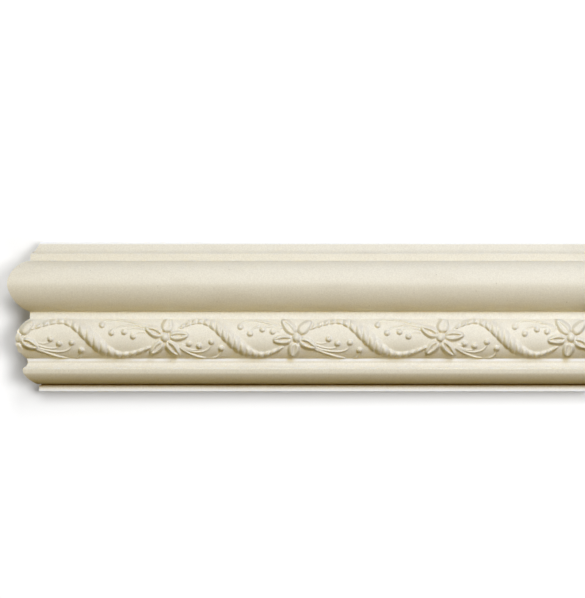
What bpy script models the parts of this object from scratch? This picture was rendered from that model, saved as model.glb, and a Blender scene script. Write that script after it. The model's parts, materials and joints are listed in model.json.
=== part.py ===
"""A run of decorative moulding, one casting with a flat back.

From the top down the front has a hollowed lip, a flat fillet, a large half round, a narrow sunk fillet, a
band rounded across its height, a second sunk fillet, a nose over a long curve that runs back under it, and a
flat bottom edge. The band carries flowers, sprays of berries on stems, and twisted ropes that swing from one
flower to the next. The left end is cut at 45 degrees for a corner, with the front longer than the back, and
the right end is cut square.

Sizes are in millimetres and MM turns them into metres. Along the moulding they run from the front tip of the
corner cut, up from the bottom edge, and out from the flat back. The origin is the middle of the back face,
with X along the moulding, Z up and the front facing -Y.
"""

import math

import bmesh
import bpy
from mathutils import Vector

MM = 0.001

# The whole casting
LENGTH = 389.0
HEIGHT = 100.0
DEPTH = 30.2
BACK_MIDDLE = (LENGTH + DEPTH) / 2
SPARE = 20.0

# Profile, from the top edge down. Places on it are (out, up)
TOP_EDGE = (8.0, 100.0)
TOP_LIP = (14.5, 92.4)
TOP_LIP_HOLLOW = 1.2
TOP_FILLET_DEPTH = 14.7
TOP_FILLET = (91.9, 87.4)
ROUND_MIDDLE = (14.5, 71.9)
ROUND_OUT = 15.7
ROUND_ABOVE = 15.6
ROUND_ABOVE_FULLNESS = 1.8
ROUND_BELOW = 19.3
ROUND_BELOW_FULLNESS = 1.65
UPPER_SINK_DEPTH = 15.1
UPPER_SINK = (52.7, 48.4)
BAND_CENTRE_DEPTH = 8.8
BAND_MIDDLE = 34.65
BAND_RADIUS = 15.2
BAND_EDGE_ANGLE = 64.0
CORNER_ON_BAND = DEPTH - BAND_CENTRE_DEPTH - BAND_RADIUS
LOWER_SINK_DEPTH = 15.9
LOWER_SINK = (21.1, 19.0)
NOSE_TOP = (19.5, 15.6)
NOSE_HOLLOW = 0.5
NOSE_FRONT = (20.0, 14.6)
NOSE_BULGE = 1.7
CREASE = (9.3, 4.2)
BOTTOM_EDGE = (8.8, 3.6)

# Ornament. What belongs to a flower is set out from its middle, as it is for side 1 and half turned for
# side -1. A bud or a berry is its width, its length, how far its lower end narrows and how far it stands off
FLOWERS = (
    # along, up, side
    (7.6, 35.4, -1),
    (105.8, 36.4, 1),
    (194.1, 35.4, -1),
    (290.5, 36.4, 1),
    (378.1, 35.4, -1),
)
PETALS = (
    # across, up, angle, length, width
    (9.6, 0.9, 4.0, 12.6, 6.8),
    (1.9, 8.0, 77.0, 10.6, 9.0),
    (-7.6, 3.8, 154.0, 12.2, 6.6),
    (-5.6, -7.8, 235.0, 12.4, 7.0),
    (5.9, -8.0, 307.0, 12.8, 6.6),
)
PETAL_RIM = 1.25
PETAL_HOLLOW = 0.45
BUD = (4.8, 5.8, 0.18, 2.0)
BUD_DROP = 0.4
BERRY = (4.0, 4.0, 0.0, 1.4)
STEM_WIDTH = 1.0
STEM_RISE = 0.55
NEAR_SPRAY = {
    "roots": ((11.2, -4.6), (10.9, -5.4), (10.4, -6.2), (9.8, -7.0)),
    "berries": ((16.1, -4.6), (22.9, -6.1), (31.2, -3.3), (37.7, -7.8)),
    "dip": 0.8,
}
FAR_SPRAY = {
    "roots": ((13.0, -2.8), (12.3, -4.4), (11.6, -5.9), (10.3, -6.6)),
    "berries": ((21.4, -0.4), (27.3, -3.4), (35.8, -2.8), (42.1, -8.0)),
    "dip": 0.4,
}
ROPE_MIDDLE = 35.9
ROPE_SHORT_OF_FLOWER = 8.7
ROPE_CREST = 11.5
ROPE_CREST_AT = 20.8
ROPE_FALL = 5.6
ROPE_SLIM_HALF = 1.8
ROPE_THICK_HALF = 6.7
ROPE_THICK_REACH = 11.4
ROPE_STRAND = 4.3
ROPE_TWIST = 0.16
ROPE_BURIED = 1.0

CASTING_COLOUR = (0.80, 0.76, 0.65, 1.0)
CASTING_ROUGHNESS = 0.72


def at(along, up, out):
    """The place this far from the corner tip, above the bottom edge and out from the back, in metres."""
    return Vector((along - BACK_MIDDLE, -out, up - HEIGHT / 2)) * MM


def on_band(along, up, rise):
    """A place seen from the front at (along, up), standing this far off the rounded face of the band."""
    reach = BAND_RADIUS + rise
    across = max(-0.995 * reach, min(0.995 * reach, up - BAND_MIDDLE))
    return at(along, up, BAND_CENTRE_DEPTH + math.sqrt(reach * reach - across * across))


def bowed(start, end, bow, count):
    """Points after start up to end on an arc whose middle is this far to the left of the straight line."""
    run = Vector(end) - Vector(start)
    aside = Vector((-run.y, run.x)).normalized()
    radius = (run.length**2 / 4 + bow * bow) / (2 * abs(bow))
    half = math.asin(run.length / 2 / radius)
    points = []
    for i in range(1, count + 1):
        turn = half * (2 * i / count - 1)
        height = (math.cos(turn) - math.cos(half)) * radius * math.copysign(1, bow)
        middle = (Vector(start) + Vector(end)) / 2
        points.append(tuple(middle + run.normalized() * radius * math.sin(turn) + aside * height))
    return points


def rounded(middle, out, above, fullness, shares):
    """A quarter of a rounded member as (out, up) places, at these shares of its height from its middle."""
    places = []
    for share in shares:
        places.append((middle[0] + out * (1 - share**fullness) ** (1 / fullness), middle[1] + above * share))
    return places


def profile():
    """The cross-section as (out, up) places, down the front and back up the flat back."""
    shares = [math.sin(math.radians(90 * i / 8)) for i in range(9)]
    places = [(0.0, HEIGHT), TOP_EDGE]
    places += bowed(TOP_EDGE, TOP_LIP, -TOP_LIP_HOLLOW, 5)
    places += [(TOP_FILLET_DEPTH, up) for up in TOP_FILLET]
    places += rounded(ROUND_MIDDLE, ROUND_OUT, ROUND_ABOVE, ROUND_ABOVE_FULLNESS, reversed(shares[:-1]))
    places += rounded(ROUND_MIDDLE, ROUND_OUT, -ROUND_BELOW, ROUND_BELOW_FULLNESS, shares[1:-1])
    places += [(UPPER_SINK_DEPTH, up) for up in UPPER_SINK]
    for i in range(13):
        turn = math.radians(BAND_EDGE_ANGLE * (1 - i / 6))
        out = BAND_CENTRE_DEPTH + BAND_RADIUS * math.cos(turn)
        places.append((out, BAND_MIDDLE + BAND_RADIUS * math.sin(turn)))
    places += [(LOWER_SINK_DEPTH, up) for up in LOWER_SINK]
    places += bowed((LOWER_SINK_DEPTH, LOWER_SINK[1]), NOSE_TOP, -NOSE_HOLLOW, 3)
    places.append(NOSE_FRONT)
    places += bowed(NOSE_FRONT, CREASE, NOSE_BULGE, 6)
    places += [BOTTOM_EDGE, (BOTTOM_EDGE[0], 0.0), (0.0, 0.0)]
    return places


def loft(name, rings):
    """A closed mesh object through rings of equal count, with a flat cap on the first and the last."""
    mesh = bmesh.new()
    loops = [[mesh.verts.new(point) for point in ring] for ring in rings]
    for lower, upper in zip(loops, loops[1:]):
        for i in range(len(lower)):
            j = (i + 1) % len(lower)
            mesh.faces.new((lower[i], lower[j], upper[j], upper[i]))
    mesh.faces.new(loops[0])
    mesh.faces.new(loops[-1])
    bmesh.ops.recalc_face_normals(mesh, faces=mesh.faces)
    data = bpy.data.meshes.new(name)
    mesh.to_mesh(data)
    mesh.free()
    data.shade_smooth()
    data.set_sharp_from_angle(angle=math.radians(35))
    return bpy.data.objects.new(name, data)


def set_aside(thing, collection):
    """Keeps an operand out of the render."""
    collection.objects.link(thing)
    thing.hide_render = True
    thing.display_type = "WIRE"
    return thing


def petal(name, middle, side, across, up, angle, length, width):
    """A pointed leaf with a raised rim and a hollow, narrow at the flower's middle."""
    turn = math.radians(angle)
    ahead = Vector((math.cos(turn), math.sin(turn)))
    aside = Vector((-ahead.y, ahead.x))
    outline = []
    for i in range(10):
        around = math.tau * i / 10
        share = (1 - math.cos(around)) / 2
        half = width / 2 * math.sin(math.pi * share**0.85) ** 0.8
        outline.append(ahead * length * (share - 0.5) + aside * math.copysign(half, math.sin(around)))
    rings = []
    for scale, rise in ((1.0, -1.0), (0.86, PETAL_RIM), (0.4, PETAL_HOLLOW)):
        ring = []
        for spot in outline:
            place = Vector((across, up)) + spot * scale
            ring.append(on_band(middle[0] + side * place.x, middle[1] + side * place.y, rise))
        rings.append(ring)
    return loft(name, rings)


def dome(name, middle, width, length, narrowed, rise, sides):
    """A rounded bump, narrowed by this share towards its lower end."""
    rings = []
    for scale, share in ((1.0, -0.5), (0.95, 0.45), (0.72, 0.82), (0.36, 1.0)):
        ring = []
        for i in range(sides):
            around = math.tau * i / sides
            half = scale * width / 2 * (1 - narrowed * max(0.0, -math.sin(around)))
            along = middle[0] + half * math.cos(around)
            up = middle[1] + scale * length / 2 * math.sin(around)
            ring.append(on_band(along, up, rise * share))
        rings.append(ring)
    return loft(name, rings)


def bezier(controls, share):
    """A place on a cubic curve."""
    rest = 1 - share
    weights = (rest**3, 3 * rest**2 * share, 3 * rest * share**2, share**3)
    return sum((Vector(spot) * weight for spot, weight in zip(controls, weights)), Vector((0, 0)))


def stem(name, middle, side, root, berry, dip):
    """A thin ridge that leaves the petal's tip, dips, and hooks up into its berry."""
    run = berry[0] - root[0]
    controls = (
        root,
        (root[0] + 0.42 * run, root[1] - 0.42 * run * dip),
        (berry[0] + 0.04 * run, berry[1] - 0.35 * run),
        berry,
    )
    count = 5 if run < 12 else 8
    spots = [bezier(controls, i / count) for i in range(count + 1)]
    rings = []
    for i, spot in enumerate(spots):
        ahead = (spots[min(i + 1, count)] - spots[max(i - 1, 0)]).normalized()
        aside = Vector((-ahead.y, ahead.x)) * STEM_WIDTH
        ring = []
        for offset, rise in ((-1, -STEM_RISE), (0, STEM_RISE), (1, -STEM_RISE)):
            place = spot + aside * offset
            ring.append(on_band(middle[0] + side * place.x, middle[1] + side * place.y, rise))
        rings.append(ring)
    return loft(name, rings)


def rope(name, first, last):
    """A twisted rope swinging from the upper right of one flower to the lower left of the next.

    It turns half round about its middle, where it is thickest. Each strand is a pair of upright rings.
    """
    middle = (first[0] + last[0]) / 2
    reach = (last[0] - first[0]) / 2 - ROPE_SHORT_OF_FLOWER
    count = 4 * round(reach / ROPE_STRAND)
    rings = []
    for i in range(count + 1):
        across = reach * (2 * i / count - 1)
        away = abs(across)
        if away < ROPE_CREST_AT:
            swing = ROPE_CREST * math.sin(math.pi / 2 * away / ROPE_CREST_AT)
        else:
            swing = ROPE_CREST - ROPE_FALL * ((away - ROPE_CREST_AT) / (reach - ROPE_CREST_AT)) ** 1.6
        up = ROPE_MIDDLE - math.copysign(swing, across)
        slim = ROPE_SLIM_HALF * math.sqrt(1 - 0.85 * (away / reach) ** 6)
        tall = slim + (ROPE_THICK_HALF - slim) * math.exp(-((away / ROPE_THICK_REACH) ** 2.2))
        twist = ROPE_TWIST if i % 2 else -ROPE_TWIST
        rise = (1 + twist) * (0.75 + 0.26 * tall)
        tall *= 1 + twist / 4
        spots = [(q, rise * math.sqrt(1 - q * q)) for q in (-0.94, -0.6, 0.0, 0.6, 0.94)]
        spots = [(-1.0, -ROPE_BURIED)] + spots + [(1.0, -ROPE_BURIED)]
        rings.append([on_band(middle + across, up + q * tall, out) for q, out in spots])
    return loft(name, rings)


def block(name, plan):
    """An upright prism over a plan of (X, Y) points in millimetres, taller than the casting."""
    rings = [[Vector((x, y, up)) * MM for x, y in plan] for up in (-HEIGHT, HEIGHT)]
    return loft(name, rings)


for old in list(bpy.data.objects):
    bpy.data.objects.remove(old)

scene_objects = bpy.context.scene.collection
ornament = bpy.data.collections.new("ornament")
scene_objects.children.link(ornament)

# The plain run, longer than the casting at both ends until it is cut
outline = profile()
ends = (-SPARE, LENGTH + SPARE)
moulding = loft("moulding", [[at(along, up, out) for out, up in outline] for along in ends])
scene_objects.objects.link(moulding)

casting = bpy.data.materials.new("casting")
casting.use_nodes = True
shader = casting.node_tree.nodes["Principled BSDF"]
shader.inputs["Base Color"].default_value = CASTING_COLOUR
shader.inputs["Roughness"].default_value = CASTING_ROUGHNESS
shader.inputs["Metallic"].default_value = 0.0
casting.diffuse_color = CASTING_COLOUR
moulding.data.materials.append(casting)

# Flowers, each with its bud and the sprays on both sides
for number, (along, up, side) in enumerate(FLOWERS):
    middle = (along, up)
    for i, shape in enumerate(PETALS):
        if along + side * shape[0] > CORNER_ON_BAND:
            set_aside(petal(f"petal_{number}_{i}", middle, side, *shape), ornament)
    set_aside(dome(f"bud_{number}", (along, up - side * BUD_DROP), *BUD, 10), ornament)
    for spray, turn in ((NEAR_SPRAY, side), (FAR_SPRAY, -side)):
        if not CORNER_ON_BAND < along + turn * spray["berries"][0][0] < LENGTH:
            continue
        for i, (root, berry) in enumerate(zip(spray["roots"], spray["berries"])):
            place = (along + turn * berry[0], up + turn * berry[1])
            name = f"{number}_{'right' if turn > 0 else 'left'}_{i}"
            set_aside(stem(f"stem_{name}", middle, turn, root, berry, spray["dip"]), ornament)
            set_aside(dome(f"berry_{name}", place, *BERRY, 8), ornament)

# Ropes between neighbouring flowers
for number, (first, last) in enumerate(zip(FLOWERS, FLOWERS[1:])):
    set_aside(rope(f"rope_{number}", first, last), ornament)

joined = moulding.modifiers.new("ornament", "BOOLEAN")
joined.operation = "UNION"
joined.solver = "EXACT"
joined.operand_type = "COLLECTION"
joined.collection = ornament

# The corner cut at 45 degrees, then the square end
tip = -BACK_MIDDLE + DEPTH
corner = block("corner_cutter", ((tip + 15, 15), (tip - 60, -60), (tip - 160, -60), (tip - 160, 15)))
stop = LENGTH - BACK_MIDDLE
square = block("square_cutter", ((stop, 15), (stop, -60), (stop + 60, -60), (stop + 60, 15)))
for cutter in (corner, square):
    set_aside(cutter, scene_objects)
    cut = moulding.modifiers.new(cutter.name, "BOOLEAN")
    cut.operation = "DIFFERENCE"
    cut.solver = "EXACT"
    cut.object = cutter
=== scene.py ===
"""A run of decorative moulding, cast in one piece, on a pale backdrop under soft studio light.

Metres, with X along the moulding, Z up and the front facing -Y. The origin is the middle of the flat back.
"""

import json
import math

import bmesh
import bpy
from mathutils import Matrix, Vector

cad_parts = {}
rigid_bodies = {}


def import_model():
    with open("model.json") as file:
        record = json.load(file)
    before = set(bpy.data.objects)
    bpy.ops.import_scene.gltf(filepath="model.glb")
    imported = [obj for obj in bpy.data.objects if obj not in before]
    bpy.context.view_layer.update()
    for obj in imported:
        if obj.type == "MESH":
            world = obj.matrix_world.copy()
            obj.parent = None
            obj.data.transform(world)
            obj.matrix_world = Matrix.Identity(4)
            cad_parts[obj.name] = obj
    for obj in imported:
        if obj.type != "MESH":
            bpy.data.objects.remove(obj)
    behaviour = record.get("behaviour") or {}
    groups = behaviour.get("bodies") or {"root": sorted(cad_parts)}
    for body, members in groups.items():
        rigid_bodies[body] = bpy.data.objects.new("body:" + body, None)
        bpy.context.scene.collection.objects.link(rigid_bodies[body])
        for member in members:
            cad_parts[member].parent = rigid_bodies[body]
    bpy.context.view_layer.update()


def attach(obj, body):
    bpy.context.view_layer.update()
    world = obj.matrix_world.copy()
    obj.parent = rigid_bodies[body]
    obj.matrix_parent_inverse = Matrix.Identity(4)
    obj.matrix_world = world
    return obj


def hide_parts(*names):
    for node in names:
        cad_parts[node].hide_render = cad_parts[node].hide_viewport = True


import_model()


# The flowers
# Five petals round a bud, modelled by hand and cast with the band. Each petal is a leaf with a fat rim
# round a narrow dish, low at the bud and high at its tip. Drawn flat, in millimetres from the bud.


class Value:
    """One value in a node tree. An expression on values adds the Math nodes that work it out."""

    def __init__(self, tree, socket=None):
        self.tree = tree
        self.socket = socket

    def node(self, kind, settings=None, sockets=None, output=0):
        """Adds a node: its settings first, then the values or links of its sockets."""
        made = self.tree.nodes.new(kind)
        for name, setting in (settings or {}).items():
            setattr(made, name, setting)
        for name, given in (sockets or {}).items():
            for one in given if isinstance(given, list) else [given]:
                if isinstance(one, Value):
                    self.tree.links.new(one.socket, made.inputs[name])
                else:
                    made.inputs[name].default_value = one
        return Value(self.tree, made.outputs[output] if made.outputs else None)

    def maths(self, operation, *others):
        sockets = dict(enumerate((self, *others)))
        return self.node("ShaderNodeMath", {"operation": operation}, sockets)

    def __add__(self, other):
        return self.maths("ADD", other)

    def __radd__(self, other):
        return self.maths("ADD", other)

    def __sub__(self, other):
        return self.maths("SUBTRACT", other)

    def __rsub__(self, other):
        return (self * -1.0).maths("ADD", other)

    def __mul__(self, other):
        return self.maths("MULTIPLY", other)

    def __rmul__(self, other):
        return self.maths("MULTIPLY", other)

    def __truediv__(self, other):
        return self.maths("DIVIDE", other)

    def __pow__(self, power):
        return self.maths("POWER", power)

    def __abs__(self):
        return self.maths("ABSOLUTE")

    def least(self, other):
        """The value, or the other where that is greater."""
        return self.maths("MAXIMUM", other)

    def most(self, other):
        """The value, or the other where that is smaller."""
        return self.maths("MINIMUM", other)


def new_tree(name, sizes):
    """A Geometry Nodes tree with these named inputs, as its first value and its inputs by name."""
    tree = bpy.data.node_groups.new(name, "GeometryNodeTree")
    tree.interface.new_socket("Geometry", in_out="INPUT", socket_type="NodeSocketGeometry")
    for label, kind in sizes.items():
        tree.interface.new_socket(label, in_out="INPUT", socket_type=kind)
    tree.interface.new_socket("Geometry", in_out="OUTPUT", socket_type="NodeSocketGeometry")
    entry = tree.nodes.new("NodeGroupInput")
    return Value(tree), {socket.name: Value(tree, socket) for socket in entry.outputs if socket.name}


def give(made):
    """Hands a value to the tree's output."""
    leaving = made.tree.nodes.new("NodeGroupOutput")
    made.tree.links.new(made.socket, leaving.inputs["Geometry"])


workshop = bpy.data.collections.new("workshop")
bpy.context.scene.collection.children.link(workshop)


def drawing(name, data, tree, sizes):
    """An object in the workshop that carries a tree, with its inputs set."""
    thing = bpy.data.objects.new(name, data)
    workshop.objects.link(thing)
    layer = thing.modifiers.new(tree.name, "NODES")
    layer.node_group = tree
    for item in tree.interface.items_tree:
        if item.item_type == "SOCKET" and item.in_out == "INPUT" and item.name in sizes:
            layer[item.identifier] = sizes[item.name]
    return thing


def spots(name, places, attributes):
    """A mesh of loose points, with one number for each point under each attribute's name."""
    mesh = bpy.data.meshes.new(name)
    mesh.from_pydata(places, [], [])
    for label, numbers in attributes.items():
        layer = mesh.attributes.new(label, "FLOAT", "POINT")
        layer.data.foreach_set("value", numbers)
    return mesh


def parted(given, vector):
    """A vector value as its three numbers."""
    made = given.node("ShaderNodeSeparateXYZ", sockets={0: vector})
    return [Value(made.tree, socket) for socket in made.socket.node.outputs]


def joined(given, x, y, z):
    """Three numbers as a vector value."""
    return given.node("ShaderNodeCombineXYZ", sockets={0: x, 1: y, 2: z})


def named(given, label):
    """An attribute of numbers by its name."""
    return given.node("GeometryNodeInputNamedAttribute", {"data_type": "FLOAT"}, {"Name": label})


def here(given):
    """Where each point of a mesh lies, as three numbers."""
    return parted(given, given.node("GeometryNodeInputPosition"))


def moved(mesh, x, y, z):
    """The mesh with its points put there."""
    place = joined(mesh, x, y, z)
    return mesh.node("GeometryNodeSetPosition", sockets={"Geometry": mesh, "Position": place})


def marked(mesh, label, number):
    """The mesh with a number kept at each of its points under this name."""
    return mesh.node(
        "GeometryNodeStoreNamedAttribute",
        {"data_type": "FLOAT", "domain": "POINT"},
        {"Geometry": mesh, "Name": label, "Value": number},
    )


def between(value, low, high, first=0.0, last=1.0):
    """A smooth step from first, where the value is low, to last, where it is high."""
    return value.node(
        "ShaderNodeMapRange",
        {"interpolation_type": "SMOOTHSTEP"},
        {"Value": value, "From Min": low, "From Max": high, "To Min": first, "To Max": last},
    )


PETALS = (
    # across, up, angle, length, width, share of the dish on an upright flower and on a turned one
    (9.6, 0.9, 4.0, 12.6, 8.0, 1.0, 1.0),
    (1.9, 7.9, 77.0, 10.0, 8.8, 0.2, 0.6),
    (-7.6, 3.8, 154.0, 12.2, 8.2, 1.0, 1.0),
    (-5.6, -7.6, 225.0, 11.8, 7.6, 0.75, 0.0),
    (5.5, -8.1, 312.0, 12.8, 8.2, 1.0, 0.5),
)
PETAL_RIM = 2.8
PETAL_DISH = 0.75
# in shares of a petal's length, of its half width and of its height
RIM_CREST_AT = 0.48
TIP_FALLS_FROM = 0.82
ROOT_RISES_TO = 0.2
ROOT_HEIGHT = 0.5
DISH_HALF = 0.38
DISH_SLOPE = 0.24
BUD_WIDTH = 5.5
BUD_LENGTH = 6.2
BUD_RISE = 3.2
BUD_NARROWED = 0.05
BUD_LOW = 0.4

NUMBER = "NodeSocketFloat"
flower_sizes = {
    "Rim": PETAL_RIM, "Dish": PETAL_DISH, "Bud width": BUD_WIDTH, "Bud length": BUD_LENGTH,
    "Bud rise": BUD_RISE, "Bud narrowed": BUD_NARROWED,
}
start, size = new_tree("flower", dict.fromkeys(flower_sizes, NUMBER))
leaf = start.node(
    "GeometryNodeMeshGrid", sockets={"Size X": 1.0, "Size Y": 2.0, "Vertices X": 37, "Vertices Y": 29}
)
x, y, _ = here(start)
share = (x + 0.5).least(0.0).most(1.0)
half = (share**0.72 * math.pi).maths("SINE").least(0.0) ** 0.48
off_crest = ((abs(y) - RIM_CREST_AT).least(0.0) / (1.0 - RIM_CREST_AT)).most(1.0)
wall = (1.0 - off_crest**1.45).least(0.0) ** 0.9
off_tip = ((share - TIP_FALLS_FROM).least(0.0) / (1.0 - TIP_FALLS_FROM)).most(1.0)
tip = (1.0 - off_tip * off_tip).least(0.0) ** 0.5
rooted = between(share, 0.0, ROOT_RISES_TO, ROOT_HEIGHT, 1.0)
opened = (share**0.8 * math.pi).maths("SINE").least(0.0)
dish = between(opened * DISH_HALF - abs(y), 0.0, DISH_SLOPE)
leaf = marked(leaf, "dish depth", dish * size["Dish"] * rooted)
leaf = moved(leaf, share - 0.5, half * y / 2.0, wall * tip * rooted)
turn = joined(start, 0.0, 0.0, named(start, "turn"))
scale = joined(start, named(start, "length"), named(start, "width"), size["Rim"])
petals = start.node(
    "GeometryNodeInstanceOnPoints",
    sockets={"Points": size["Geometry"], "Instance": leaf, "Rotation": turn, "Scale": scale},
)
petals = start.node("GeometryNodeRealizeInstances", sockets={0: petals})
x, y, z = here(start)
sunk = named(start, "dish depth") * named(start, "dish") * size["Rim"]
petals = moved(petals, x, y, z - sunk)
bud = start.node("GeometryNodeMeshUVSphere", sockets={"Segments": 40, "Rings": 24, "Radius": 1.0})
x = x * (1.0 - (y * -1.0).least(0.0) * size["Bud narrowed"]) * size["Bud width"] / 2.0
bud = moved(bud, x, y * size["Bud length"] / 2.0 - BUD_LOW, z * size["Bud rise"])
both = start.node("GeometryNodeJoinGeometry", sockets={0: [petals, bud]})
give(start.node("GeometryNodeRealizeInstances", sockets={0: both}))
flowers = {}
for name, dished in (("Upright flower", 5), ("Turned flower", 6)):
    petal_spots = spots(
        name,
        [(across, up, 0.0) for across, up, *_ in PETALS],
        {
            "turn": [math.radians(petal[2]) for petal in PETALS],
            "length": [petal[3] for petal in PETALS],
            "width": [petal[4] for petal in PETALS],
            "dish": [petal[dished] for petal in PETALS],
        },
    )
    flowers[name] = drawing(name, petal_spots, start.tree, flower_sizes)


# The sprays
# Four thin stems on each side of a flower, each hooked up into a round berry, modelled as low ridges that
# taper from the petal's tip. The low sprays hang to the right of a flower, the high ones rise to its left.


def spray_lines(name, roots, berries, widths, dip, hook):
    """Four stems as curves in millimetres about the flower's bud, as wide as their radius says."""
    data = bpy.data.curves.new(name, "CURVE")
    data.dimensions = "3D"
    for root, berry, (wide, thin) in zip(roots, berries, widths):
        run = berry[0] - root[0]
        line = data.splines.new("BEZIER")
        line.bezier_points.add(1)
        first, last = line.bezier_points
        first.co = (*root, 0.0)
        first.handle_left = (2 * root[0] - berry[0], root[1], 0.0)
        first.handle_right = (root[0] + 0.42 * run, root[1] - 0.42 * run * dip, 0.0)
        first.radius = wide
        last.co = (*berry, 0.0)
        last.handle_left = (berry[0] + 0.04 * run, berry[1] - hook * run, 0.0)
        last.handle_right = (berry[0], berry[1] + 1.0, 0.0)
        last.radius = thin
    return data


BERRY_WIDTH = 3.9
BERRY_RISE = 2.2
STEM_RISE = 1.4

spray_sizes = {"Berry width": BERRY_WIDTH, "Berry rise": BERRY_RISE, "Stem rise": STEM_RISE}
start, size = new_tree("spray", dict.fromkeys(spray_sizes, NUMBER))
lines = start.node("GeometryNodeResampleCurve", sockets={"Curve": size["Geometry"], "Count": 40})
ring = start.node("GeometryNodeCurvePrimitiveCircle", sockets={"Resolution": 12, "Radius": 1.0})
radius = start.node("GeometryNodeInputRadius")
stems = start.node(
    "GeometryNodeCurveToMesh",
    sockets={"Curve": lines, "Profile Curve": ring, "Fill Caps": True, "Scale": radius},
)
x, y, z = here(start)
stems = moved(stems, x, y, z * size["Stem rise"])
ball = start.node("GeometryNodeMeshUVSphere", sockets={"Segments": 28, "Rings": 20, "Radius": 0.5})
ends = start.node("GeometryNodeCurveEndpointSelection", sockets={"Start Size": 0, "End Size": 1})
scale = joined(start, size["Berry width"], size["Berry width"], size["Berry rise"] * 2.0)
berries = start.node(
    "GeometryNodeInstanceOnPoints",
    sockets={"Points": lines, "Selection": ends, "Instance": ball, "Scale": scale},
)
both = start.node("GeometryNodeJoinGeometry", sockets={0: [stems, berries]})
give(start.node("GeometryNodeRealizeInstances", sockets={0: both}))

STEM_WIDTHS = ((0.5, 0.35), (0.6, 0.4), (0.75, 0.45), (0.95, 0.45))
NEAR_ROOTS = ((11.2, -4.6), (10.9, -5.4), (10.4, -6.2), (9.8, -7.0))
NEAR_BERRIES = ((16.1, -4.6), (22.9, -6.1), (31.2, -3.3), (37.7, -7.8))
FAR_ROOTS = ((13.0, -2.8), (12.3, -4.4), (11.6, -5.9), (10.3, -6.6))
FAR_BERRIES = ((21.4, -0.4), (27.3, -3.4), (35.8, -2.8), (42.1, -8.0))
sprays = {}
for name, roots, berries, dip, hook in (
    ("Near low spray", NEAR_ROOTS, NEAR_BERRIES, 0.8, 0.35),
    ("Far low spray", FAR_ROOTS, FAR_BERRIES, 0.4, 0.35),
    ("Near high spray", NEAR_ROOTS, NEAR_BERRIES, 0.55, 0.2),
    ("Far high spray", FAR_ROOTS, FAR_BERRIES, 0.4, 0.18),
):
    lines = spray_lines(name, roots, berries, STEM_WIDTHS, dip, hook)
    sprays[name] = drawing(name, lines, start.tree, spray_sizes)


# The ropes
# A twisted rope swings from the upper right of each flower to the lower left of the next, thick in its middle
# and thin at both ends. Its strands are upright wedges with a groove between each and the next.

FLOWERS = (
    # along, up, side
    (7.6, 35.4, -1),
    (105.8, 36.4, 1),
    (194.1, 35.4, -1),
    (290.5, 36.4, 1),
    (378.1, 35.4, -1),
)
ROPE_MIDDLE = 35.9
ROPE_SHORT_OF_FLOWER = 8.7
ROPE_CREST = 11.5
ROPE_CREST_AT = 20.8
ROPE_FALL = 5.6
ROPE_SLIM_HALF = 2.1
ROPE_THICK_HALF = 6.7
ROPE_THICK_REACH = 12.8
ROPE_PEAK = -0.2
ROPE_RISE = 3.8
ROPE_GROOVE = 0.75
ROPE_STRANDS = (
    # groove to groove, first groove past the middle
    (4.85, 0.84),
    (4.08, -2.05),
    (4.39, 0.36),
    (4.10, -1.58),
)

rope_sizes = {
    "Crest": ROPE_CREST, "Crest at": ROPE_CREST_AT, "Fall": ROPE_FALL, "Slim half": ROPE_SLIM_HALF,
    "Thick half": ROPE_THICK_HALF, "Thick reach": ROPE_THICK_REACH, "Peak": ROPE_PEAK, "Rise": ROPE_RISE,
    "Groove": ROPE_GROOVE,
}
start, size = new_tree("rope", dict.fromkeys(rope_sizes, NUMBER))
strip = start.node(
    "GeometryNodeMeshGrid", sockets={"Size X": 2.0, "Size Y": 2.0, "Vertices X": 401, "Vertices Y": 33}
)
x, y, _ = here(start)
strip = marked(marked(strip, "share", x), "edge", y)
strips = start.node("GeometryNodeInstanceOnPoints", sockets={"Points": size["Geometry"], "Instance": strip})
strips = start.node("GeometryNodeRealizeInstances", sockets={0: strips})
share, edge, reach = named(start, "share"), named(start, "edge"), named(start, "reach")
across = share * reach
away = abs(across)
rising = (away / size["Crest at"] * (math.pi / 2)).maths("SINE") * size["Crest"]
beyond = ((away - size["Crest at"]).least(0.0) / (reach - size["Crest at"])) ** 1.6
falling = size["Crest"] - beyond * size["Fall"]
past = away.maths("GREATER_THAN", size["Crest at"])
swing = rising + (falling - rising) * past
slim = (1.0 - abs(share) ** 6.0 * 0.85).maths("SQRT") * size["Slim half"]
swell = ((away / size["Thick reach"]) ** 2.2 * -1.0).maths("EXPONENT")
tall = slim + (size["Thick half"] - slim) * swell
thick = (tall - size["Slim half"]) / (size["Thick half"] - size["Slim half"])
past_groove = across - edge * 0.5 - named(start, "phase")
strand = abs((past_groove / named(start, "pitch") * math.pi).maths("SINE"))
bulge = strand.least(0.0) ** (0.85 - thick * 0.43)
depth = size["Groove"] * (1.1 - thick * 0.25 - edge * 0.45).least(0.0).most(1.0)
under = ((size["Peak"] - edge) / (size["Peak"] + 1.0)).least(0.0).most(1.0)
over = ((edge - size["Peak"]) / (1.0 - size["Peak"])).least(0.0).most(1.0) ** 1.35
section = (1.0 - under**2.2).least(0.0) ** 0.8 * ((over * math.pi).maths("COSINE") * 0.5 + 0.5)
rise = (thick * 0.42 + 0.58) * size["Rise"] * section * (1.0 - (1.0 - bulge) * depth)
tall = tall * (bulge * 0.1 + 0.93)
x, y, _ = here(start)
give(moved(strips, x - share + across, y - edge - swing * share.maths("SIGN") + edge * tall, rise))
pairs = list(zip(FLOWERS, FLOWERS[1:]))
ropes = drawing(
    "ropes",
    spots(
        "rope_middles",
        [((first[0] + last[0]) / 2, ROPE_MIDDLE, 0.0) for first, last in pairs],
        {
            "reach": [(last[0] - first[0]) / 2 - ROPE_SHORT_OF_FLOWER for first, last in pairs],
            "pitch": [pitch for pitch, _ in ROPE_STRANDS],
            "phase": [phase for _, phase in ROPE_STRANDS],
        },
    ),
    start.tree,
    rope_sizes,
)


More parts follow.
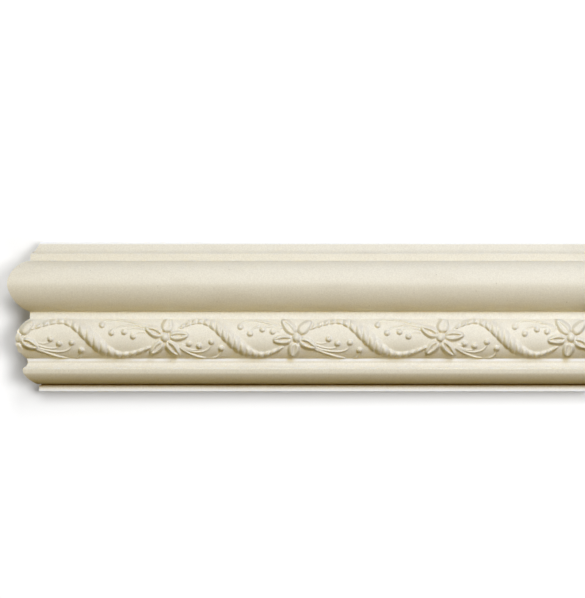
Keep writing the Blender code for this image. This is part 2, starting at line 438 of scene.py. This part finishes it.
# The casting
# One long casting of rigid resin with a flat back: a hollowed lip, a fillet, a large half round, the carved
# band between two sunk fillets, and a nose. It is cast long, then sawn at 45 degrees on the left and square
# on the right.

# in millimetres, along from the mitre's front, out from the back and up from the bottom edge
LENGTH = 389.0
HEIGHT = 100.0
DEPTH = 30.2
BACK_MIDDLE = (LENGTH + DEPTH) / 2
SAWN_OFF = 8.0
BAND_CENTRE = 8.8
BAND_MIDDLE = 34.65
BAND_RADIUS = 15.2
BAND_MARK = 1000.0
MITRE_FADE = 4.0
MITRE_KEPT = 0.35
FINE_STEP = 0.375
PLAIN_STEP = 6.0
PAINTED_HIGHLIGHTS = (
    # out, up, how much: painted highlights on the two outer arrises and on the flat under the band
    (8.0, 100.0, 1.0),
    (8.9, 0.0, 1.0),
    (16.6, 21.2, 0.9),
)
# how far a painted highlight reaches from its place
HIGHLIGHT_REACH = 1.6
# the crease under the nose, and how far painted shade reaches from it
CREASE = (8.2, 4.5)
CREASE_SHADE_REACH = 5.2
# in degrees above the band's centre
BAND_EDGES = (64.0, -53.4)
BAND_ROWS = 80
# in metres
MILLIMETRE = 0.001
WELD = 2e-5
ON_CUT = 1e-6
SHELTER_REACH = 0.005
WAYS_OUT = 32


def rounded(middle, out, above, fullness, count):
    """A quarter of a rounded member as (out, up) places, from its front to its edge."""
    places = []
    for i in range(count + 1):
        share = math.sin(math.pi / 2 * i / count)
        places.append((middle[0] + out * (1 - share**fullness) ** (1 / fullness), middle[1] + above * share))
    return places


def bowed(first, last, bow, count):
    """Places from first to last on an arc whose middle is this far to the left of the straight line."""
    run = Vector(last) - Vector(first)
    aside = Vector((-run.y, run.x)).normalized()
    radius = (run.length**2 / 4 + bow * bow) / (2 * abs(bow))
    half_turn = math.asin(run.length / 2 / radius)
    places = []
    for i in range(count + 1):
        angle = half_turn * (2 * i / count - 1)
        off = (math.cos(angle) - math.cos(half_turn)) * radius * math.copysign(1, bow)
        middle = (Vector(first) + Vector(last)) / 2
        places.append(tuple(middle + run.normalized() * radius * math.sin(angle) + aside * off))
    return places


def eased(corner, before, after, radius):
    """A corner as the places of a small round, with one place on the flat at each side of it."""
    corner, before, after = Vector(corner), Vector(before), Vector(after)
    first, last = (before - corner).normalized(), (after - corner).normalized()
    places = [corner + first * radius * 1.7]
    for i in range(5):
        share = i / 4
        places.append(corner + first * radius * (1 - share) ** 2 + last * radius * share**2)
    places.append(corner + last * radius * 1.7)
    return [tuple(place) for place in places]


def outline():
    """The cross-section as (out, up, 1 on the band, painted light) places, once round from the top of the
    back. The painted light is a painted highlight above 0 and painted shade below 0.
    """
    back_top, back_half, back_foot = (0.0, HEIGHT), (0.0, HEIGHT / 2), (0.0, 0.0)
    lip = [(8.0, HEIGHT), (9.0, 98.2)] + bowed((10.6, 95.5), (14.6, 92.4), -0.42, 7)
    fillet, fillet_foot = (14.7, 91.9), (14.7, 87.4)
    half_round = (14.5, 71.9)
    above = rounded(half_round, 15.7, 15.6, 1.8, 20)[::-1]
    below = rounded(half_round, 15.7, -18.4, 1.6, 22)[1:]
    sunk, sunk_foot = (15.0, 53.5), (15.1, 48.4)
    band_foot, low_fillet = (16.8, 21.9), (16.35, 19.0)
    hollow = bowed(low_fillet, (19.5, 15.6), -0.5, 6)
    brow = (20.0, 15.1)
    nose = bowed((19.3, 11.9), (10.2, 4.85), 0.88, 14)
    crease, quirk, toe, foot = (7.6, 4.75), (7.6, 4.1), (8.75, 4.0), (8.9, 0.0)

    plain = eased(back_top, back_half, lip[0], 0.5)
    plain += eased(lip[0], back_top, lip[1], 0.45) + lip[1:-1]
    plain += eased(fillet, lip[-2], fillet_foot, 0.35)
    plain += eased(fillet_foot, fillet, above[1], 0.25) + above[2:] + below[:-2]
    plain += eased(sunk, below[-2], sunk_foot, 0.5) + [(15.1, 48.75)]
    places = [(out, up, 0.0) for out, up in plain]
    for i in range(BAND_ROWS):
        share = i / (BAND_ROWS - 1)
        top, bottom = (math.radians(edge) for edge in BAND_EDGES)
        even = math.asin(math.sin(top) + (math.sin(bottom) - math.sin(top)) * share)
        angle = (even + top + (bottom - top) * share) / 2
        out, up = BAND_CENTRE + BAND_RADIUS * math.cos(angle), BAND_MIDDLE + BAND_RADIUS * math.sin(angle)
        places.append((out, up, 1.0))
    plain = eased(band_foot, (17.86, 22.45), low_fillet, 0.6)
    plain += eased(low_fillet, band_foot, hollow[1], 0.4) + hollow[2:-1]
    plain += eased(brow, hollow[-2], nose[0], 0.55) + eased(nose[0], brow, nose[2], 0.8) + nose[3:-1]
    plain += eased(nose[-1], nose[-2], crease, 0.2) + eased(crease, nose[-1], quirk, 0.12)
    plain += eased(quirk, crease, toe, 0.12) + eased(toe, quirk, foot, 0.25)
    plain += eased(foot, toe, back_foot, 0.15) + eased(back_foot, foot, back_half, 0.5)
    plain += [back_half, (0.0, 99.15)]
    places += [(out, up, 0.0) for out, up in plain]
    painted_places = []
    # Painted highlight near the two outer arrises and the flat under the band, painted shade near the crease
    # under the nose
    for out, up, fine in places:
        highlight = [min(most, HIGHLIGHT_REACH - math.dist((out, up), place)) for *place, most in PAINTED_HIGHLIGHTS]
        painted_shade = 1.0 - math.dist((out, up), CREASE) / CREASE_SHADE_REACH
        painted_places.append((out, up, fine, max(0.0, *highlight) - max(0.0, painted_shade)))
    return painted_places


section = outline()
# The cross-section drawn as points, each with its share of the band and its painted highlight or painted
# shade
profile_line = bpy.data.objects.new(
    "profile",
    spots(
        "profile",
        [(out, up, 0.0) for out, up, *_ in section],
        {"fine": [fine for *_, fine, _ in section], "wear": [wear for *_, wear in section]},
    ),
)
workshop.objects.link(profile_line)

THING = "NodeSocketObject"
start, size = new_tree(
    "casting",
    {
        "Profile": THING, **{name: THING for name in (*flowers, *sprays)}, "Ropes": THING,
        "Run": NUMBER, "Run middle": NUMBER, "Columns": "NodeSocketInt", "Rows": "NodeSocketInt",
        "Plain step": NUMBER, "Fine step": NUMBER, "Band centre": NUMBER, "Band middle": NUMBER,
        "Band radius": NUMBER, "Depth": NUMBER, "Back middle": NUMBER, "Half height": NUMBER,
        "Shelter reach": NUMBER, "Finish": "NodeSocketMaterial",
    },
)


def shape_of(thing):
    """The geometry of an object input, as drawn."""
    return start.node(
        "GeometryNodeObjectInfo", {"transform_space": "ORIGINAL"}, {"Object": thing}, "Geometry"
    )


# The pattern laid flat: at each spot an upright flower or a turned one, and a spray on each side of it
side = named(start, "side")
flat = []
for thing, chosen, turn in (
    ("Upright flower", side, 0.0),
    ("Turned flower", side * -1.0, math.pi),
    ("Near low spray", side, 0.0),
    ("Far low spray", side * -1.0, 0.0),
    ("Near high spray", side * -1.0, math.pi),
    ("Far high spray", side, math.pi),
):
    flat.append(
        start.node(
            "GeometryNodeInstanceOnPoints",
            sockets={
                "Points": size["Geometry"],
                "Selection": chosen.maths("GREATER_THAN", 0.0),
                "Instance": shape_of(size[thing]),
                "Rotation": joined(start, 0.0, 0.0, turn),
            },
        )
    )
pattern = start.node("GeometryNodeJoinGeometry", sockets={0: flat + [shape_of(size["Ropes"])]})
pattern = start.node("GeometryNodeRealizeInstances", sockets={0: pattern})

run = start.node(
    "GeometryNodeMeshGrid",
    sockets={"Size X": size["Run"], "Size Y": 1.0, "Vertices X": size["Columns"], "Vertices Y": size["Rows"]},
)
x, y, _ = here(start)
row = ((y + 0.5) * (size["Rows"] - 1.0)).maths("ROUND")
drawn = shape_of(size["Profile"])


def on_outline(asked, kind="FLOAT"):
    """What the cross-section has at the place that each row of the run follows."""
    return start.node(
        "GeometryNodeSampleIndex",
        {"data_type": kind, "domain": "POINT"},
        {"Geometry": drawn, "Value": asked, "Index": row},
    )


out, up, _ = parted(start, on_outline(start.node("GeometryNodeInputPosition"), "FLOAT_VECTOR"))
fine = on_outline(named(start, "fine"))
# Each row keeps its painted highlight or painted shade for the finish
run = marked(run, "wear", on_outline(named(start, "wear")))
along = x + size["Run middle"]
snapped = (along / size["Plain step"]).maths("ROUND") * size["Plain step"]
along = snapped + (along - snapped) * fine
run = moved(run, along, up, fine * BAND_MARK + out)

# How high the pattern stands over each place of the band, as the mean of four looks down onto it
x, y, z = here(start)
heights = []
for aside, above in ((-0.25, -0.25), (0.25, -0.25), (-0.25, 0.25), (0.25, 0.25)):
    eye = joined(start, x + size["Fine step"] * aside, y + size["Fine step"] * above, 20.0)
    hit = start.node(
        "GeometryNodeRaycast",
        {"data_type": "FLOAT"},
        {
            "Target Geometry": pattern, "Source Position": eye, "Ray Direction": (0.0, 0.0, -1.0),
            "Ray Length": 40.0,
        },
        "Hit Position",
    )
    heights.append(parted(start, hit)[2].least(0.0))
on_band = z.maths("GREATER_THAN", BAND_MARK / 2.0)
bare = (size["Band radius"] ** 2.0 - (y - size["Band middle"]) ** 2.0).least(0.0).maths("SQRT")
from_mitre = x - size["Depth"] + bare + size["Band centre"]
full = between(from_mitre, 0.0, MITRE_FADE, MITRE_KEPT, 1.0)
height = (heights[0] + heights[1] + heights[2] + heights[3]) / 4.0 * on_band * full
run = marked(run, "height", height)
height, wide = (
    start.node(
        "GeometryNodeBlurAttribute",
        {"data_type": "FLOAT"},
        {"Value": named(start, "height"), "Iterations": rounds, "Weight": weight},
    )
    for rounds, weight in ((1, 0.5), (12, 1.0))
)
# How far each place lies below the carving round it, which the finish turns into painted shade
run = marked(run, "recess", wide - height)
reach = size["Band radius"] + height
across = y - size["Band middle"]
bulged = (reach * reach - across * across).least(0.0).maths("SQRT") + size["Band centre"]
out = z + (bulged - z) * on_band
x, z = (x - size["Back middle"]) * MILLIMETRE, (y - size["Half height"]) * MILLIMETRE
run = moved(run, x, out * -MILLIMETRE, z)
run = start.node("GeometryNodeMergeByDistance", sockets={"Geometry": run, "Distance": WELD})
run = start.node("GeometryNodeFlipFaces", sockets={"Mesh": run})

# How far each place is sheltered: the share of the ways out in front of it that the casting itself blocks.
# The finish paints shade where it is high.
spot = start.node("GeometryNodeInputPosition")
facing = start.node("GeometryNodeInputNormal")
clear_of = start.node(
    "ShaderNodeVectorMath", {"operation": "MULTIPLY_ADD"}, {0: facing, 1: (0.0002, 0.0002, 0.0002), 2: spot}
)
blocked, open_to = 0.0, 0.001
for i in range(WAYS_OUT):
    away = (i + 0.5) / WAYS_OUT
    angle = i * math.pi * (3 - math.sqrt(5))
    ring = math.sqrt(1 - away * away)
    way = (ring * math.cos(angle), -away, ring * math.sin(angle))
    turned = start.node("ShaderNodeVectorMath", {"operation": "DOT_PRODUCT"}, {0: facing, 1: way}, "Value")
    weight = turned.least(0.0)
    hit = start.node(
        "GeometryNodeRaycast",
        {"data_type": "FLOAT"},
        {
            "Target Geometry": run, "Source Position": clear_of, "Ray Direction": way,
            "Ray Length": size["Shelter reach"],
        },
    )
    blocked = weight * hit + blocked
    open_to = weight + open_to
run = marked(run, "shelter", blocked / open_to)
softened = start.node(
    "GeometryNodeBlurAttribute",
    {"data_type": "FLOAT"},
    {"Value": named(start, "shelter"), "Iterations": 2, "Weight": 0.7},
)
run = start.node("GeometryNodeSetShadeSmooth", sockets={"Geometry": marked(run, "shelter", softened)})
run = start.node("GeometryNodeRealizeInstances", sockets={0: run})
give(start.node("GeometryNodeSetMaterial", sockets={"Geometry": run, "Material": size["Finish"]}))

# The casting's cream, the brown of its specks and of painted shade, the pale of painted highlights, and the
# plain tones of its back
CREAM = (0.76, 0.70, 0.53, 1.0)
DIRT_AND_SHADE = (0.25, 0.165, 0.06, 1.0)
HIGHLIGHT_PALE = (0.90, 0.89, 0.85, 1.0)
BACK_PALE = (0.74, 0.70, 0.58, 1.0)
BACK_DULL = (0.64, 0.60, 0.49, 1.0)
GRAINS_TO_METRE = 1100.0
PITS_TO_METRE = 150.0


def emptied(made):
    """The first value of a new material's or world's own tree, with no nodes in it."""
    made.use_nodes = True
    made.node_tree.nodes.clear()
    return Value(made.node_tree)


casting_finish = bpy.data.materials.new("casting_finish")
paint = emptied(casting_finish)
spot = paint.node("ShaderNodeTexCoord", output="Object")
across, depth, up = parted(paint, spot)
# How sheltered each place is, how far it lies below the carving, and its painted highlight or shade from the
# cross-section
sheltered = paint.node("ShaderNodeAttribute", {"attribute_name": "shelter"}, output="Fac")
recess = paint.node("ShaderNodeAttribute", {"attribute_name": "recess"}, output="Fac")
wear = paint.node("ShaderNodeAttribute", {"attribute_name": "wear"}, output="Fac")


def cloud(where, scale, detail=2.0, roughness=0.5):
    """Soft random cloud, 0 to 1, with this many lumps to the metre."""
    return paint.node(
        "ShaderNodeTexNoise",
        sockets={"Vector": where, "Scale": scale, "Detail": detail, "Roughness": roughness},
    )


def blend(share, first, last):
    """One colour into another."""
    return paint.node("ShaderNodeMix", {"data_type": "RGBA"}, {"Factor": share, 6: first, 7: last}, 2)


grain = cloud(spot, GRAINS_TO_METRE, 3.0, 0.7)
smudge = between(cloud(joined(paint, across * 22.0, depth * 60.0, up * 75.0), 1.0, 2.0), 0.56, 0.78)
patch = cloud(spot, 16.0, 3.0)
pit_place = {"Vector": spot, "Scale": PITS_TO_METRE}
from_pit = paint.node("ShaderNodeTexVoronoi", sockets=pit_place)
pit_kind = paint.node("ShaderNodeTexVoronoi", sockets=pit_place, output="Color")
pit = (1.0 - between(from_pit, 0.04, 0.085)) * between(parted(paint, pit_kind)[0], 0.66, 0.7)
# Painted shade: darker and browner where the casting shelters a place, in the recesses at the foot of the
# carving and in the crease under the nose. The grain, patches, pits and smudges are the casting's own random
# tone.
sheltered_shade = between(sheltered, 0.12, 0.62)
painted_shade = (wear * -1.0).least(0.0) * 0.95 + between(recess, 0.7, 1.6) * 0.6
speckle = (grain - 0.5) * 0.55 + (patch - 0.5) * 0.08 + pit * 0.3 + smudge * 0.06
shade_and_speckle = (painted_shade + sheltered_shade * 0.2 + speckle + 0.09).least(0.0).most(1.0)
cream = blend(shade_and_speckle, CREAM, DIRT_AND_SHADE)
# Painted highlight: paler along the two outer arrises and on the flat under the band
cream = blend(wear.least(0.0) * 0.8, cream, HIGHLIGHT_PALE)
at_back = between(depth, -0.0012, -0.0003)
plainer = blend(cloud(spot, 60.0, 4.0, 0.6), BACK_PALE, BACK_DULL)
cream = blend(at_back, cream, plainer)
lumps = grain * 0.5 + patch * 0.4 - pit + cloud(spot, 300.0) * at_back * 3.0
lumps = paint.node("ShaderNodeBump", sockets={"Strength": 0.35, "Distance": 0.0002, "Height": lumps})
shader = paint.node(
    "ShaderNodeBsdfPrincipled",
    sockets={
        "Base Color": cream,
        "Roughness": grain * 0.12 + 0.66 + at_back * 0.15,
        "IOR": 1.45,
        "Specular IOR Level": 0.3,
        "Normal": lumps,
    },
)
paint.node("ShaderNodeOutputMaterial", sockets={"Surface": shader})

# Where it is sawn, the pale fine-celled inside shows, with the faint upright marks of the blade
SAWN_PALE = (0.88, 0.83, 0.68, 1.0)
SAWN_DULL = (0.70, 0.62, 0.44, 1.0)
CELLS_TO_METRE = 1300.0

sawn_finish = bpy.data.materials.new("sawn_finish")
paint = emptied(sawn_finish)
spot = paint.node("ShaderNodeTexCoord", output="Object")
across, depth, up = parted(paint, spot)
strokes = cloud(joined(paint, across * 900.0, depth * 900.0, up * 14.0), 1.0, 2.0)
cells = paint.node("ShaderNodeTexVoronoi", sockets={"Vector": spot, "Scale": CELLS_TO_METRE})
mark = (strokes * 0.6 + cells * 0.5 + cloud(spot, 45.0, 3.0) * 0.3 - 0.2).least(0.0).most(1.0)
scored = paint.node(
    "ShaderNodeBump", sockets={"Strength": 0.4, "Distance": 0.0002, "Height": strokes * 0.6 + cells}
)
shader = paint.node(
    "ShaderNodeBsdfPrincipled",
    sockets={
        "Base Color": blend(mark, SAWN_PALE, SAWN_DULL),
        "Roughness": mark * 0.1 + 0.8,
        "Specular IOR Level": 0.2,
        "Normal": scored,
    },
)
paint.node("ShaderNodeOutputMaterial", sockets={"Surface": shader})

columns = round((LENGTH + 2 * SAWN_OFF) / FINE_STEP) + 1
long_run = drawing(
    "long_run",
    spots("flower_spots", [(*place, 0.0) for *place, _ in FLOWERS], {"side": [side for *_, side in FLOWERS]}),
    start.tree,
    {
        "Profile": profile_line, **flowers, **sprays, "Ropes": ropes,
        "Run": (columns - 1) * FINE_STEP, "Run middle": LENGTH / 2, "Columns": columns, "Rows": len(section),
        "Plain step": PLAIN_STEP, "Fine step": FINE_STEP, "Band centre": BAND_CENTRE,
        "Band middle": BAND_MIDDLE, "Band radius": BAND_RADIUS, "Depth": DEPTH, "Back middle": BACK_MIDDLE,
        "Half height": HEIGHT / 2, "Shelter reach": SHELTER_REACH, "Finish": casting_finish,
    },
)
graph = bpy.context.evaluated_depsgraph_get()
cast = bpy.data.meshes.new_from_object(long_run.evaluated_get(graph))

cast.materials.append(sawn_finish)
sawn = bmesh.new()
sawn.from_mesh(cast)
right = (LENGTH - BACK_MIDDLE) * MILLIMETRE
left = (-BACK_MIDDLE + DEPTH) * MILLIMETRE
for place, facing in (((right, 0, 0), (1, 0, 0)), ((left, 0, 0), (-1, 1, 0))):
    everything = sawn.verts[:] + sawn.edges[:] + sawn.faces[:]
    bmesh.ops.bisect_plane(
        sawn, geom=everything, dist=1e-8, plane_co=place, plane_no=facing, clear_outer=True
    )
    rim = [edge for edge in sawn.edges if edge.is_boundary]
    place, facing = Vector(place), Vector(facing)
    rim = [edge for edge in rim if all(abs((end.co - place).dot(facing)) < ON_CUT for end in edge.verts)]
    for face in bmesh.ops.contextual_create(sawn, geom=rim)["faces"]:
        face.material_index = 1
        face.smooth = False
    for edge in rim:
        edge.smooth = False
bmesh.ops.remove_doubles(sawn, verts=sawn.verts, dist=WELD / 10)
bmesh.ops.recalc_face_normals(sawn, faces=sawn.faces)
sawn.to_mesh(cast)
sawn.free()
moulding = bpy.data.objects.new("casting", cast)
bpy.context.scene.collection.objects.link(moulding)
for thing in list(workshop.objects):
    bpy.data.objects.remove(thing)
bpy.data.collections.remove(workshop)
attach(moulding, "root")
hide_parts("moulding")


# The backdrop
# A plain white board right behind the flat back, painted matt. It is seen from the front only, so that the
# back can be looked at too.

BOARD_REACH = 3.0
BOARD_BEHIND = 0.0005

board = bpy.data.meshes.new("backdrop")
corners = [(x * BOARD_REACH, BOARD_BEHIND, z * BOARD_REACH) for x, z in ((-1, -1), (1, -1), (1, 1), (-1, 1))]
board.from_pydata(corners, [], [(0, 1, 2, 3)])
backdrop = bpy.data.objects.new("backdrop", board)
bpy.context.scene.collection.objects.link(backdrop)
white = bpy.data.materials.new("backdrop")
paint = emptied(white)
shader = paint.node(
    "ShaderNodeBsdfPrincipled",
    sockets={"Base Color": (0.75, 0.75, 0.75, 1.0), "Roughness": 1.0, "Specular IOR Level": 0.0},
)
clear = paint.node("ShaderNodeBsdfTransparent")
seen = paint.node("ShaderNodeNewGeometry", output="Backfacing")
mixed = paint.node("ShaderNodeMixShader", sockets={0: seen, 1: shader, 2: clear})
paint.node("ShaderNodeOutputMaterial", sockets={"Surface": mixed})
board.materials.append(white)
backdrop.visible_shadow = False
backdrop.visible_diffuse = False


# The light
# A tall cool box and a smaller warm one in front, above and to the right, a weak one at the left, and warm
# bounce from all round. Four more light the board alone, and one lights the hidden sides. Where the board
# doesn't reach, the studio behind is as pale.


def soft_box(name, azimuth, elevation, distance, width, height, power, colour):
    """A rectangular soft box aimed at the object from this direction, seen from the front."""
    lamp = bpy.data.lights.new(name, "AREA")
    lamp.shape = "RECTANGLE"
    lamp.size = width
    lamp.size_y = height
    lamp.energy = power
    lamp.color = colour
    across, above = math.radians(azimuth), math.radians(elevation)
    level = math.cos(above)
    place = Vector((math.sin(across) * level, -math.cos(across) * level, math.sin(above))) * distance
    box = bpy.data.objects.new(name, lamp)
    box.location = place
    box.rotation_mode = "QUATERNION"
    box.rotation_quaternion = (-place).to_track_quat("-Z", "Y")
    box.visible_camera = False
    bpy.context.scene.collection.objects.link(box)
    return box


moulding_only = bpy.data.collections.new("moulding_only")
moulding_only.objects.link(moulding)
backdrop_only = bpy.data.collections.new("backdrop_only")
backdrop_only.objects.link(backdrop)
for box, lit in (
    (soft_box("key_light", 17, 27, 1.7, 0.3, 0.82, 35.5, (0.47, 0.62, 1.05)), moulding_only),
    (soft_box("low_key_light", 17, 14, 1.7, 0.3, 0.6, 8.0, (1.0, 0.75, 0.1)), moulding_only),
    (soft_box("left_light", -50, 15, 2.7, 1.2, 1.2, 12.0, (1.0, 1.02, 0.7)), moulding_only),
    (soft_box("warm_wall", 0, 0, 2.5, 7.0, 7.0, 31.0, (1.0, 0.66, 0.0)), moulding_only),
    (soft_box("warm_ceiling", 0, 80, 2.5, 5.0, 5.0, 20.0, (1.0, 0.7, 0.1)), moulding_only),
    (soft_box("warm_floor", 0, -80, 2.5, 5.0, 5.0, 11.0, (1.0, 0.66, 0.0)), moulding_only),
    (soft_box("board_key_light", 25, 6, 2.0, 1.1, 1.1, 31.5, (1.0, 1.0, 1.0)), backdrop_only),
    (soft_box("board_left_light", -12, 32, 2.0, 1.6, 0.7, 19.0, (1.0, 1.0, 1.0)), backdrop_only),
    (soft_box("board_high_light", 12, 54, 2.0, 0.56, 1.1, 22.5, (1.0, 1.0, 1.0)), backdrop_only),
    (soft_box("board_low_light", 10, -42, 2.0, 1.0, 0.4, 12.0, (1.0, 1.0, 1.0)), backdrop_only),
):
    box.light_linking.receiver_collection = lit
soft_box("back_light", 165, 30, 2.7, 1.5, 1.5, 90.0, (1.0, 1.0, 1.0))
world = bpy.data.worlds.new("studio")
paint = emptied(world)
room = paint.node("ShaderNodeBackground", sockets={"Color": (1.0, 0.9, 0.7, 1.0), "Strength": 0.02})
pale = paint.node("ShaderNodeBackground", sockets={"Color": (0.92, 0.92, 0.92, 1.0), "Strength": 1.0})
looked_at = paint.node("ShaderNodeLightPath", output="Is Camera Ray")
mixed = paint.node("ShaderNodeMixShader", sockets={0: looked_at, 1: room, 2: pale})
paint.node("ShaderNodeOutputWorld", sockets={"Surface": mixed})
bpy.context.scene.world = world
bpy.context.scene.view_settings.view_transform = "Standard"


# The camera
# A long lens far away, level and square on to the front, as a catalogue shows a moulding. It takes in a
# little less than the whole length, so that the moulding runs on past the right side.

SENSOR = 36.0
FOCAL_LENGTH = 1000.0
VIEW_HEIGHT = 0.40066
VIEW_MIDDLE = (-0.01826, 0.01184)

lens = bpy.data.cameras.new("camera")
lens.sensor_width = SENSOR
lens.lens = FOCAL_LENGTH
lens.clip_end = 40.0
camera = bpy.data.objects.new("camera", lens)
camera.rotation_euler = (math.pi / 2, 0.0, 0.0)
away = DEPTH * MILLIMETRE + VIEW_HEIGHT * FOCAL_LENGTH / SENSOR
camera.location = (VIEW_MIDDLE[0], -away, VIEW_MIDDLE[1])
bpy.context.scene.collection.objects.link(camera)
bpy.context.scene.camera = camera
